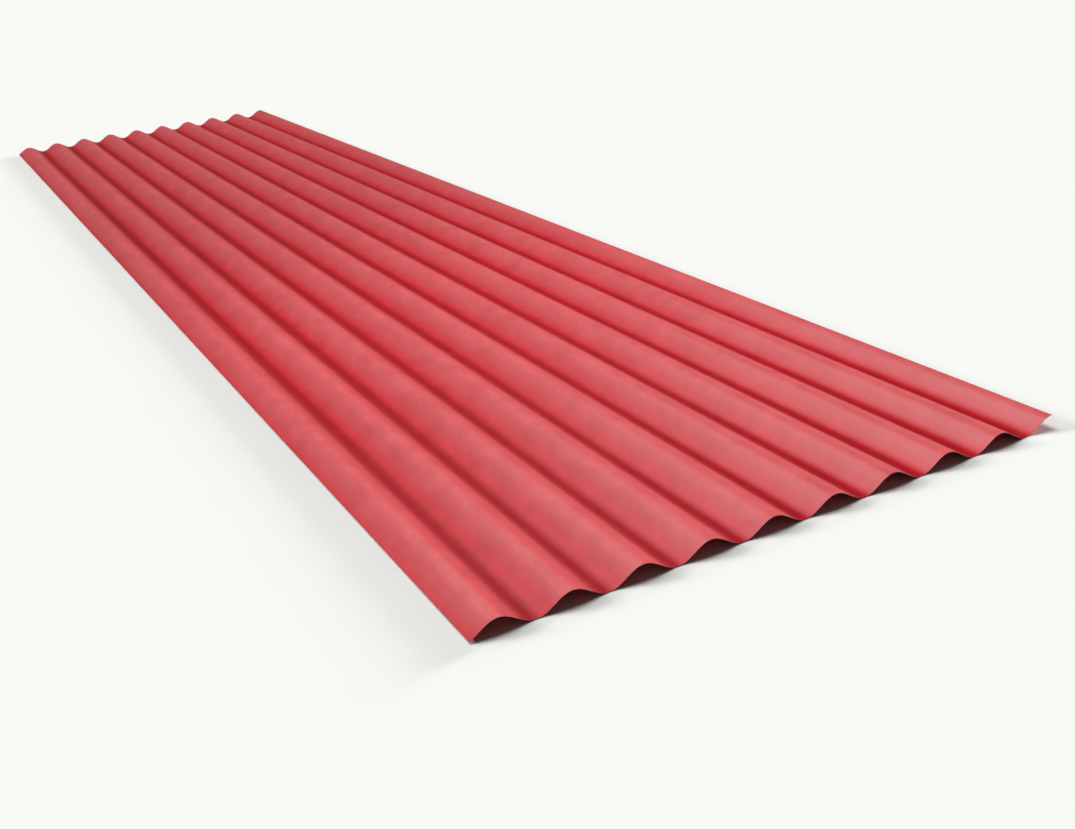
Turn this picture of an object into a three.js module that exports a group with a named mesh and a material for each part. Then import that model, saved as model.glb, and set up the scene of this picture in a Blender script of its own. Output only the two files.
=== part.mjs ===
// A single corrugated roofing and cladding sheet, rolled from flat painted steel.
//
// Frame, in millimetres: +Y along the sheet's length, with the corrugations;
// +X across them, from the edge that ends low to the edge that ends high;
// +Z up. The origin is under the middle of the sheet, on the plane that the
// bottoms of the corrugations rest on.

import * as THREE from 'three';

// ---- driving dimensions -------------------------------------------------

const LENGTH = 3000;            // stock length, along the corrugations
const PITCH = 76.2;             // crest to crest
const DEPTH = 16;               // trough to crest, at the middle of the sheet metal
const GAUGE = 0.5;              // steel thickness

// Where the two long edges fall on the wave, in pitches from a trough.
const LOW_EDGE = 0.117;         // just past a trough, so this edge ends low
const HIGH_EDGE = 9.509;        // just past a crest, so this edge ends high

const STEPS_PER_PITCH = 32;     // facets across one corrugation
const COLOUR = 0xb4323a;        // red baked paint

// ---- the rolled section -------------------------------------------------

const MID = (HIGH_EDGE + LOW_EDGE) / 2;

// The flat facets along the crests and troughs lie at the full depth.
const AMPLITUDE = DEPTH / 2 / Math.cos(Math.PI / STEPS_PER_PITCH);

// The stations across the sheet, in pitches. They sit half a step off the
// troughs and crests, so that one flat facet lies along the bottom of each
// trough and along the top of each crest.
function stations() {
  const list = [LOW_EDGE];
  const first = Math.floor(LOW_EDGE * STEPS_PER_PITCH - 0.5) + 1;
  for (let i = first; (i + 0.5) / STEPS_PER_PITCH < HIGH_EDGE; i += 1) {
    const s = (i + 0.5) / STEPS_PER_PITCH;
    if (s - list[list.length - 1] > 0.25 / STEPS_PER_PITCH) list.push(s);
  }
  if (HIGH_EDGE - list[list.length - 1] < 0.25 / STEPS_PER_PITCH) list.pop();
  list.push(HIGH_EDGE);
  return list;
}

// One face of the sheet metal: the wave moved by half the gauge along its own
// normal, so that the metal keeps its thickness on the flanks too.
function facePoint(s, side) {
  const a = 2 * Math.PI * s;
  const x = (s - MID) * PITCH;
  const z = THREE.MathUtils.clamp(-Math.cos(a) * AMPLITUDE, -DEPTH / 2, DEPTH / 2);
  const slope = Math.sin(a) * 2 * Math.PI * AMPLITUDE / PITCH;
  const n = Math.hypot(1, slope);
  const off = side * GAUGE / 2;
  return new THREE.Vector2(x - off * slope / n, z + off / n);
}

function section() {
  const at = stations();
  const upper = at.map((s) => facePoint(s, 1));
  const lower = at.map((s) => facePoint(s, -1));
  return new THREE.Shape([...lower, ...upper.reverse()]);
}

// ---- the sheet ----------------------------------------------------------

function corrugatedSheet() {
  const geometry = new THREE.ExtrudeGeometry(section(), {
    depth: LENGTH,
    steps: 1,
    bevelEnabled: false,
  });
  // The section is drawn in X and Z, and runs along Y.
  geometry.rotateX(Math.PI / 2);
  geometry.translate(0, LENGTH / 2, 0);
  // Centred across its width, with the lowest facets on Z = 0.
  geometry.computeBoundingBox();
  const { min, max } = geometry.boundingBox;
  geometry.translate(-(min.x + max.x) / 2, 0, -min.z);

  const material = new THREE.MeshStandardMaterial({
    color: COLOUR,
    roughness: 0.5,
    metalness: 0,
  });
  const mesh = new THREE.Mesh(geometry, material);
  mesh.name = 'corrugated_sheet';
  return mesh;
}

const part = new THREE.Group();
part.add(corrugatedSheet());

export default part;
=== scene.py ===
"""Looks of a corrugated painted steel sheet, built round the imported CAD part.

Everything is in metres, in the part's own frame: +Y along the corrugations,
+X across them, +Z up, with the origin under the middle of the sheet.
"""

import math

import bpy
import numpy as np
from mathutils import Matrix, Vector


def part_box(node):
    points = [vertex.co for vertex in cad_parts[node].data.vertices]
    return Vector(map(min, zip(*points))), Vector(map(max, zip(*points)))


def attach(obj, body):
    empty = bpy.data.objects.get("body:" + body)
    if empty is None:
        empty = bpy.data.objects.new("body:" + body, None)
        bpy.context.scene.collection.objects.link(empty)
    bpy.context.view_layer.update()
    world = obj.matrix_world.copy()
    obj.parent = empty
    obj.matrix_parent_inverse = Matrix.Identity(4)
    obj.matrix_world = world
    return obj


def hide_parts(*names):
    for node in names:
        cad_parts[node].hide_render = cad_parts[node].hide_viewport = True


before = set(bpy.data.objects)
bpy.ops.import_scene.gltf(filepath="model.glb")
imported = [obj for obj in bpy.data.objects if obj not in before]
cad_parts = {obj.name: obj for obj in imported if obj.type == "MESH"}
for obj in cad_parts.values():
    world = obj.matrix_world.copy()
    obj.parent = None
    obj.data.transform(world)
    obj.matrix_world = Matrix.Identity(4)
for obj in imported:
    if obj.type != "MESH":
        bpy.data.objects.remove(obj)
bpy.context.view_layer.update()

scene = bpy.context.scene

# ---------------------------------------------------------------- dimensions
# The same numbers as the CAD source, in metres.
LENGTH = 3.0
PITCH = 0.0762
DEPTH = 0.016
GAUGE = 0.0005
LOW_EDGE = 0.117
HIGH_EDGE = 9.509
MID = (LOW_EDGE + HIGH_EDGE) / 2

low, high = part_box("corrugated_sheet")
CENTRE_X = (low.x + high.x) / 2

PAN = 4.05  # degrees: brings the far end into the picture


# ------------------------------------------------------------------- helpers
def node(tree, kind, x=0, y=0, **inputs):
    n = tree.nodes.new(kind)
    n.location = (x, y)
    for key, value in inputs.items():
        n.inputs[key.replace("_", " ")].default_value = value
    return n


def new_material(name):
    m = bpy.data.materials.new(name)
    m.use_nodes = True
    m.node_tree.nodes.clear()
    return m, m.node_tree


def ramp(tree, stops, x=0, y=0, interpolation="LINEAR"):
    n = tree.nodes.new("ShaderNodeValToRGB")
    n.location = (x, y)
    n.color_ramp.interpolation = interpolation
    els = n.color_ramp.elements
    while len(els) < len(stops):
        els.new(0.5)
    for e, (pos, colour) in zip(els, stops):
        e.position = pos
        e.color = (*colour, 1.0) if len(colour) == 3 else colour
    return n


# ------------------------------------------------------------------ the mesh
def wave(s):
    """Height of the middle of the metal at a station, in pitches from a trough."""
    return -np.cos(2 * np.pi * s) * DEPTH / 2


def sheet_mesh():
    across = 44  # steps in one corrugation
    n = int(round((HIGH_EDGE - LOW_EDGE) * across)) + 1
    s = np.linspace(LOW_EDGE, HIGH_EDGE, n)
    m = 81
    # closer together near the two ends
    t = np.linspace(-1, 1, m)
    y = LENGTH / 2 * (0.75 * t + 0.25 * np.sin(t * np.pi / 2))
    S, Y = np.meshgrid(s, y)
    X = (S - MID) * PITCH + CENTRE_X
    Z = wave(S)
    slope = np.sin(2 * np.pi * S) * np.pi * DEPTH / PITCH
    norm = np.hypot(1, slope)
    nx, nz = -slope / norm, 1 / norm
    base = DEPTH / 2 + GAUGE / 2

    def face(side):
        return np.stack(
            [X + side * nx * GAUGE / 2, Y, Z + base + side * nz * GAUGE / 2], -1
        ).reshape(-1, 3)

    upper, lower = face(1), face(-1)
    verts = np.vstack([upper, lower])
    off = n * m
    i = np.arange((m - 1) * (n - 1))
    r, c = divmod(i, n - 1)
    a = r * n + c
    top = np.stack([a, a + 1, a + n + 1, a + n], 1)
    bottom = np.stack([a, a + n, a + n + 1, a + 1], 1) + off
    k = np.arange(n - 1)
    near = np.stack([k, k + off, k + 1 + off, k + 1], 1)
    far0 = (m - 1) * n
    far = np.stack([far0 + k, far0 + k + 1, far0 + k + 1 + off, far0 + k + off], 1)
    j = np.arange(m - 1)
    left = np.stack([j * n, (j + 1) * n, (j + 1) * n + off, j * n + off], 1)
    rt = n - 1
    right = np.stack(
        [j * n + rt, j * n + rt + off, (j + 1) * n + rt + off, (j + 1) * n + rt], 1
    )
    faces = np.vstack([top, bottom, near, far, left, right])
    kind = np.concatenate(
        [
            np.zeros(len(top), int),
            np.ones(len(bottom), int),
            np.full(len(near) + len(far) + len(left) + len(right), 2),
        ]
    )
    mesh = bpy.data.meshes.new("rolled_sheet")
    mesh.from_pydata(verts.tolist(), [], faces.tolist())
    mesh.polygons.foreach_set("material_index", kind.astype(np.int32))
    mesh.polygons.foreach_set("use_smooth", np.ones(len(faces), bool))
    # the cut edges are sharp
    sharp = np.zeros(len(mesh.edges), bool)
    ev = np.zeros(len(mesh.edges) * 2, int)
    mesh.edges.foreach_get("vertices", ev)
    ev = ev.reshape(-1, 2)
    rim = np.zeros(len(verts), bool)
    rim_faces = faces[kind == 2]
    pairs = set()
    for f in rim_faces:
        for p, q in ((0, 1), (1, 2), (2, 3), (3, 0)):
            u, v = int(f[p]), int(f[q])
            if (u < off) == (v < off):
                pairs.add((min(u, v), max(u, v)))
    for e, (u, v) in enumerate(ev):
        if (min(u, v), max(u, v)) in pairs:
            sharp[e] = True
    # the four short edges through the thickness at the corners
    for u in (0, n - 1, far0, far0 + n - 1):
        hit = (ev.min(1) == u) & (ev.max(1) == u + off)
        sharp |= hit
    mesh.attributes.new("sharp_edge", "BOOLEAN", "EDGE").data.foreach_set(
        "value", sharp
    )
    mesh.update()
    mesh.validate()
    return mesh


# ----------------------------------------------------------------- materials
def paint(name, shade_tones, roughness, streaks, bump, level):
    """Baked paint with painted shade: the tone ramp runs from the bottoms of the valleys,
    darker there as painted shade, to the crests, paler there as a painted highlight.
    """
    m, t = new_material(name)
    out = node(t, "ShaderNodeOutputMaterial", 1100, 0)
    bsdf = node(t, "ShaderNodeBsdfPrincipled", 800, 0, Specular_IOR_Level=level)
    t.links.new(bsdf.outputs[0], out.inputs[0])
    co = node(t, "ShaderNodeTexCoord", -1300, 0)
    xyz = node(t, "ShaderNodeSeparateXYZ", -1100, 300)
    t.links.new(co.outputs["Object"], xyz.inputs[0])

    # faint streaks left along the sheet by the forming rolls
    stretch = node(t, "ShaderNodeMapping", -1100, -200)
    stretch.inputs["Scale"].default_value = (150.0, 1.2, 60.0)
    t.links.new(co.outputs["Object"], stretch.inputs["Vector"])
    streak = node(t, "ShaderNodeTexNoise", -900, -200, Scale=1.0, Detail=2.0)
    t.links.new(stretch.outputs[0], streak.inputs["Vector"])

    # soft clouding of the film, 20 to 60 mm across and longer along the sheet
    drift = node(t, "ShaderNodeMapping", -1100, 100)
    drift.inputs["Scale"].default_value = (1.0, 0.65, 1.0)
    t.links.new(co.outputs["Object"], drift.inputs["Vector"])
    cloud = node(t, "ShaderNodeTexNoise", -900, 100, Scale=38.0, Detail=6.0, Roughness=0.77)
    t.links.new(drift.outputs[0], cloud.inputs["Vector"])

    # painted shade and highlight by height: the colour is darker in the valleys and paler
    # on the crests
    rise = node(t, "ShaderNodeMapRange", -900, 400)
    rise.inputs[1].default_value = GAUGE
    rise.inputs[2].default_value = DEPTH + GAUGE
    t.links.new(xyz.outputs[2], rise.inputs[0])
    mix1 = node(t, "ShaderNodeMath", -650, 300)
    mix1.operation = "MULTIPLY_ADD"
    mix1.inputs[1].default_value = 0.05
    t.links.new(cloud.outputs[0], mix1.inputs[0])
    t.links.new(rise.outputs[0], mix1.inputs[2])
    mix2 = node(t, "ShaderNodeMath", -450, 300)
    mix2.operation = "MULTIPLY_ADD"
    mix2.inputs[1].default_value = streaks
    t.links.new(streak.outputs[0], mix2.inputs[0])
    t.links.new(mix1.outputs[0], mix2.inputs[2])
    centre = node(t, "ShaderNodeMath", -250, 300)
    centre.operation = "SUBTRACT"
    centre.inputs[1].default_value = 0.025 + streaks / 2
    t.links.new(mix2.outputs[0], centre.inputs[0])
    valley_shade_ramp = ramp(t, shade_tones, -50, 300)
    t.links.new(centre.outputs[0], valley_shade_ramp.inputs[0])
    film = ramp(t, [(0.36, (0.88, 0.74, 0.765)), (0.64, (1.0, 1.0, 1.0))], -50, 60)
    t.links.new(cloud.outputs[0], film.inputs[0])
    shade = node(t, "ShaderNodeMix", 300, 200)
    shade.data_type = "RGBA"
    shade.blend_type = "MULTIPLY"
    shade.inputs[0].default_value = 1.0
    t.links.new(valley_shade_ramp.outputs[0], shade.inputs[6])
    t.links.new(film.outputs[0], shade.inputs[7])
    t.links.new(shade.outputs[2], bsdf.inputs["Base Color"])

    gloss = ramp(
        t,
        [(0.3, (roughness - 0.02,) * 3), (0.7, (roughness + 0.03,) * 3)],
        -50,
        -200,
    )
    t.links.new(cloud.outputs[0], gloss.inputs[0])
    t.links.new(gloss.outputs[0], bsdf.inputs["Roughness"])

    # orange peel of the baked film
    peel = node(t, "ShaderNodeTexNoise", -500, -500, Scale=420.0, Detail=2.0)
    t.links.new(co.outputs["Object"], peel.inputs["Vector"])
    b = node(t, "ShaderNodeBump", 500, -500, Strength=bump, Distance=0.0002)
    t.links.new(peel.outputs[0], b.inputs["Height"])
    t.links.new(b.outputs[0], bsdf.inputs["Normal"])
    return m


def cut_steel():
    m, t = new_material("cut_steel_edge")
    out = node(t, "ShaderNodeOutputMaterial", 900, 0)
    bsdf = node(t, "ShaderNodeBsdfPrincipled", 600, 0, Metallic=0.7, Roughness=0.5)
    t.links.new(bsdf.outputs[0], out.inputs[0])
    co = node(t, "ShaderNodeTexCoord", -900, 0)
    grain = node(t, "ShaderNodeTexNoise", -500, 0, Scale=900.0, Detail=2.0)
    t.links.new(co.outputs["Object"], grain.inputs["Vector"])
    cr = ramp(t, [(0.35, (0.20, 0.07, 0.075)), (0.65, (0.34, 0.20, 0.20))], -100, 0)
    t.links.new(grain.outputs[0], cr.inputs[0])
    t.links.new(cr.outputs[0], bsdf.inputs["Base Color"])
    return m


sheet = bpy.data.objects.new("corrugated_sheet_finish", sheet_mesh())
scene.collection.objects.link(sheet)
sheet.data.materials.append(
    paint(
        "red_paint_top_painted_shade",
        # tone stops from the valley bottoms to the crests: darker low as painted shade,
        # paler high as a painted highlight
        [
            (0.0, (0.450, 0.0010, 0.0070)),
            (0.04, (0.495, 0.0065, 0.0155)),
            (0.1, (0.525, 0.0160, 0.0260)),
            (0.25, (0.525, 0.0340, 0.0435)),
            (0.45, (0.510, 0.0535, 0.0625)),
            (0.65, (0.520, 0.0680, 0.0760)),
            (0.8, (0.550, 0.0750, 0.0825)),
            (0.9, (0.592, 0.0840, 0.0915)),
            (1.0, (0.642, 0.1050, 0.1120)),
        ],
        0.39,
        0.04,
        0.15,
        0.42,
    )
)
sheet.data.materials.append(
    paint(
        "red_paint_back",
        # the same painted shade by height, slighter: a little darker low, paler high
        [(0.0, (0.52, 0.018, 0.026)), (1.0, (0.58, 0.026, 0.035))],
        0.52,
        0.12,
        0.15,
        0.25,
    )
)
sheet.data.materials.append(cut_steel())
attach(sheet, "root")
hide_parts("corrugated_sheet")

# --------------------------------------------------------------------- stage
bpy.ops.mesh.primitive_plane_add(size=160, location=(0, 0, -0.0002))
floor = bpy.context.object
floor.name = "floor"
fm, ft = new_material("pale_floor")
fo = node(ft, "ShaderNodeOutputMaterial", 300, 0)
fb = node(ft, "ShaderNodeBsdfDiffuse", 0, 0)
fb.inputs["Color"].default_value = (0.758, 0.765, 0.739, 1)
ft.links.new(fb.outputs[0], fo.inputs[0])
floor.data.materials.append(fm)

# -------------------------------------------------------------------- lights
world = bpy.data.worlds.new("studio")
scene.world = world
world.use_nodes = True
wt = world.node_tree
fill = wt.nodes["Background"]
fill.inputs[0].default_value = (1.0, 1.0, 0.99, 1)
fill.inputs[1].default_value = 0.06
# above the horizon the backdrop is as pale as the floor
backdrop = node(wt, "ShaderNodeBackground", 0, -200)
backdrop.inputs[0].default_value = (0.95, 0.955, 0.925, 1)
rays = node(wt, "ShaderNodeLightPath", 0, 400)
seen = node(wt, "ShaderNodeMixShader", 300, 0)
wt.links.new(rays.outputs["Is Camera Ray"], seen.inputs[0])
wt.links.new(fill.outputs[0], seen.inputs[1])
wt.links.new(backdrop.outputs[0], seen.inputs[2])
wt.links.new(seen.outputs[0], wt.nodes["World Output"].inputs[0])


def sun(name, azimuth, elevation, strength, angle, gloss=True):
    """azimuth is the direction the light comes from, in degrees from +X towards +Y."""
    data = bpy.data.lights.new(name, "SUN")
    data.energy = strength
    data.angle = math.radians(angle)
    ob = bpy.data.objects.new(name, data)
    scene.collection.objects.link(ob)
    a, e = math.radians(azimuth), math.radians(elevation)
    d = Vector((math.cos(a) * math.cos(e), math.sin(a) * math.cos(e), math.sin(e)))
    ob.rotation_mode = "QUATERNION"
    ob.rotation_quaternion = (-d).to_track_quat("-Z", "Y")
    ob.location = d * 5
    ob.visible_glossy = gloss
    return ob


def softbox(name, place, aim, width, depth, power):
    """A soft rectangular lamp, kept out of the camera's sight."""
    data = bpy.data.lights.new(name, "AREA")
    data.shape = "RECTANGLE"
    data.size, data.size_y = width, depth
    data.energy = power
    ob = bpy.data.objects.new(name, data)
    scene.collection.objects.link(ob)
    ob.location = place
    ob.rotation_mode = "QUATERNION"
    ob.rotation_quaternion = (Vector(aim) - Vector(place)).to_track_quat("-Z", "Y")
    ob.visible_camera = False
    return ob


def only_on(light, target):
    """The light falls on this object alone."""
    group = bpy.data.collections.new(light.name + "_receivers")
    group.objects.link(target)
    light.light_linking.receiver_collection = group


# the low light from the right is flagged off the gloss, apart from a soft share
sun("right", 14, 10.5, 2.20, 8.5, gloss=False)
sun("right_sheen", 14, 11, 1.58, 17)
sun("left", 145, 22, 1.90, 16)
sun("low_back", 115, 29, 0.22, 24, gloss=False)
sun("back", 117, 46, 0.45, 30, gloss=False)
sun("top", 112, 68, 1.66, 34)
# a soft lamp over the near half, so that the far half is a little deeper
only_on(softbox("near_softbox", (0.0, -0.6, 0.92), (0.2, -1.4, 0.0), 1.1, 0.8, 2.9), sheet)
# and the floor keeps one brightness all over
only_on(sun("floor_wash", 112, 68, 0.36, 34), floor)

# -------------------------------------------------------------------- camera
cam_data = bpy.data.cameras.new("camera")
cam = bpy.data.objects.new("camera", cam_data)
scene.collection.objects.link(cam)
cam_data.sensor_fit = "HORIZONTAL"
cam_data.sensor_width = 36
cam_data.lens = 1238.35 / 1075 * 36
cam_data.clip_start = 0.02
cam_data.clip_end = 400
right = Vector((0.84514921, -0.53155868, -0.05628668))
up = Vector((0.2583501, 0.31402269, 0.91358906))
ahead = Vector((0.4679509, 0.78666074, -0.40272426))
turn = Matrix.Rotation(math.radians(PAN), 3, up)
right, ahead = turn @ right, turn @ ahead
place = Matrix((right, up, -ahead)).transposed().to_4x4()
place.translation = Vector((-0.693025, -2.351699, 0.606656))
cam.matrix_world = place
scene.camera = cam

scene.view_settings.view_transform = "Standard"
scene.view_settings.look = "None"
scene.view_settings.exposure = 0
scene.view_settings.gamma = 1
